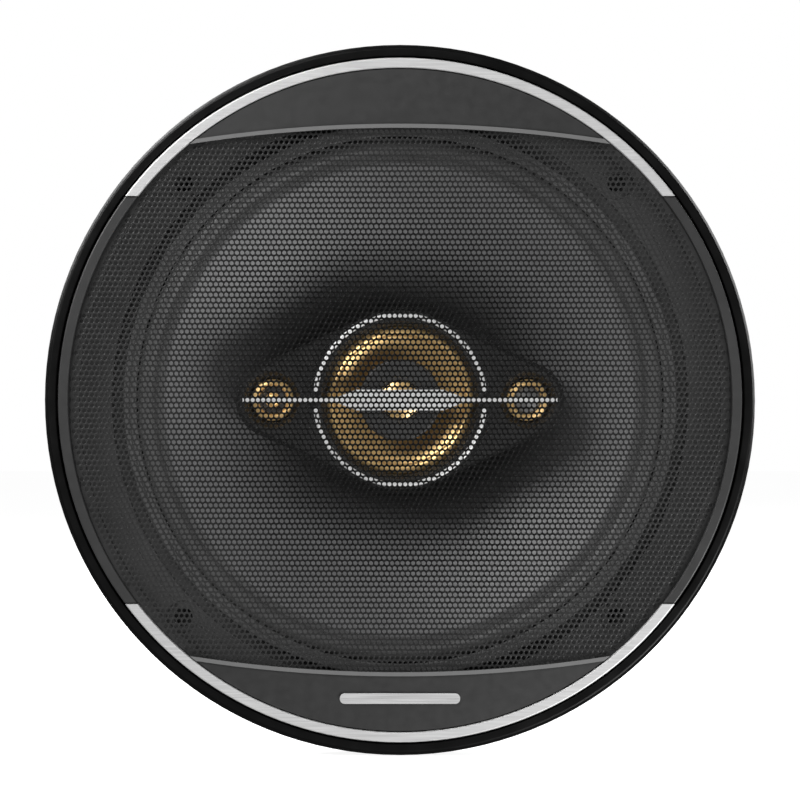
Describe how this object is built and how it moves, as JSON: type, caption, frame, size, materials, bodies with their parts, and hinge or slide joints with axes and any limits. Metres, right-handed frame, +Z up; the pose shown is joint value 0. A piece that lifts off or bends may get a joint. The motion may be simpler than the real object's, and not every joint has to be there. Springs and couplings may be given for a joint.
{
  "type": "coaxial car speaker",
  "caption": "Round coaxial car speaker: woofer cone with a centre-post housing of midrange and tweeters, behind a pull-off perforated grille.",
  "frame": {"origin": "on the speaker's axis at the back face of the basket's flange, which is the mounting plane", "axes": "-Y along the axis toward the listener, +Z up as seen from the front, +X to the right as seen from the front"},
  "size_m": [0.178, 0.074, 0.178],
  "materials": {
    "basket_coat": "black powder coat on stamped steel",
    "sealing_foam": "closed-cell foam strip with a peel-off adhesive back",
    "black_plastic": "fine-grained black moulding",
    "gasket_board": "pressed black gasket board",
    "rivet_steel": "bright zinc",
    "zinc_plate": "turned and zinc-plated steel",
    "ferrite": "ground ferrite",
    "nickel": "nickel-plated steel",
    "phenolic": "brown phenolic paper board",
    "brass_tab": "plain brass",
    "tin_tab": "tin plate",
    "capacitor_sleeve": "shrunk vinyl sleeve",
    "red_insulation": "soft vinyl",
    "black_insulation": "soft vinyl",
    "housing_black": "satin black moulding",
    "silver_trim": "satin silver",
    "ring_black": "matt black",
    "gold_surround": "gold-tinted film",
    "gold_cone": "gold metal film",
    "copper_wire": "enamelled copper",
    "dark_grey_plate": "dark grey satin",
    "neodymium": "nickel plate",
    "gold_metal": "gold metal",
    "grey_metal": "grey satin metal",
    "cone_pulp": "pressed pulp with mica",
    "kapton": "amber film",
    "surround_rubber": "soft black rubber",
    "spider_cloth": "resin-treated woven cloth",
    "copper_braid": "flat copper braid",
    "grille_black": "fine-grained black moulding",
    "mesh_steel": "satin black enamel on perforated steel",
    "panel_paint": "dark charcoal satin paint",
    "brushed_arc": "straight brushed silver",
    "gunmetal": "gunmetal satin"
  },
  "bodies": {
    "frame": {"basket": "basket_coat", "sealing_strip": "sealing_foam", "base_ring": "black_plastic", "gasket_ring": "gasket_board", "rivets": "rivet_steel", "top_plate": "zinc_plate", "magnet": "ferrite", "yoke": "zinc_plate", "centre_post": "nickel", "post_nut": "nickel", "terminal_board": "phenolic", "terminal_positive": "brass_tab", "terminal_negative": "tin_tab", "terminal_rivets": "rivet_steel", "capacitor_mid": "capacitor_sleeve", "capacitor_tweeter": "capacitor_sleeve", "lead_red": "red_insulation", "lead_black": "black_insulation", "coax_housing": "housing_black", "bezel_ring": "silver_trim", "trim_bar": "silver_trim", "mid_yoke": "zinc_plate", "mid_magnet": "ferrite", "mid_top_plate": "zinc_plate", "mid_retaining_ring": "ring_black", "mid_surround": "gold_surround", "tweeter_cup": "dark_grey_plate", "tweeter_magnet": "neodymium", "side_ring_left": "gold_metal", "side_ring_right": "gold_metal", "side_base_left": "grey_metal", "side_base_right": "grey_metal", "woofer_surround": "surround_rubber", "spider": "spider_cloth", "tinsel_leads": "copper_braid"},
    "woofer": {"woofer_cone": "cone_pulp", "voice_coil_former": "kapton", "voice_coil": "copper_wire"},
    "midrange": {"mid_cone": "gold_cone", "mid_voice_coil": "copper_wire"},
    "tweeter": {"tweeter_dome": "gold_metal", "tweeter_coil": "copper_wire"},
    "side_tweeter_left": {"side_dome_left": "gold_metal"},
    "side_tweeter_right": {"side_disc_right": "grey_metal"},
    "grille": {"grille_frame": "grille_black", "grille_mesh": "mesh_steel", "grille_panel_upper": "panel_paint", "grille_panel_lower": "panel_paint", "trim_arc_upper": "brushed_arc", "trim_arc_lower": "brushed_arc", "side_strip_left": "gunmetal", "side_strip_right": "gunmetal", "badge": "silver_trim"}
  },
  "joints": [
    {"name": "grille_pull", "type": "slide", "parent": "frame", "child": "grille", "axis": [0, -1, 0], "range_m": [0, 0.03]},
    {"name": "woofer_travel", "type": "slide", "parent": "frame", "child": "woofer", "axis": [0, -1, 0], "range_m": [-0.0035, 0.0035], "stiffness_N_per_m": 1800, "deforming": ["woofer_surround", "spider", "tinsel_leads"]},
    {"name": "midrange_travel", "type": "slide", "parent": "frame", "child": "midrange", "axis": [0, -1, 0], "range_m": [-0.0008, 0.0008], "stiffness_N_per_m": 600, "deforming": ["mid_surround"]},
    {"name": "tweeter_travel", "type": "slide", "parent": "frame", "child": "tweeter", "axis": [0, -1, 0], "range_m": [-0.0002, 0.0002], "stiffness_N_per_m": 400},
    {"name": "side_tweeter_left_travel", "type": "slide", "parent": "frame", "child": "side_tweeter_left", "axis": [0, -1, 0], "range_m": [-0.0001, 0.0001], "stiffness_N_per_m": 400},
    {"name": "side_tweeter_right_travel", "type": "slide", "parent": "frame", "child": "side_tweeter_right", "axis": [0, -1, 0], "range_m": [-0.0001, 0.0001], "stiffness_N_per_m": 400}
  ]
}
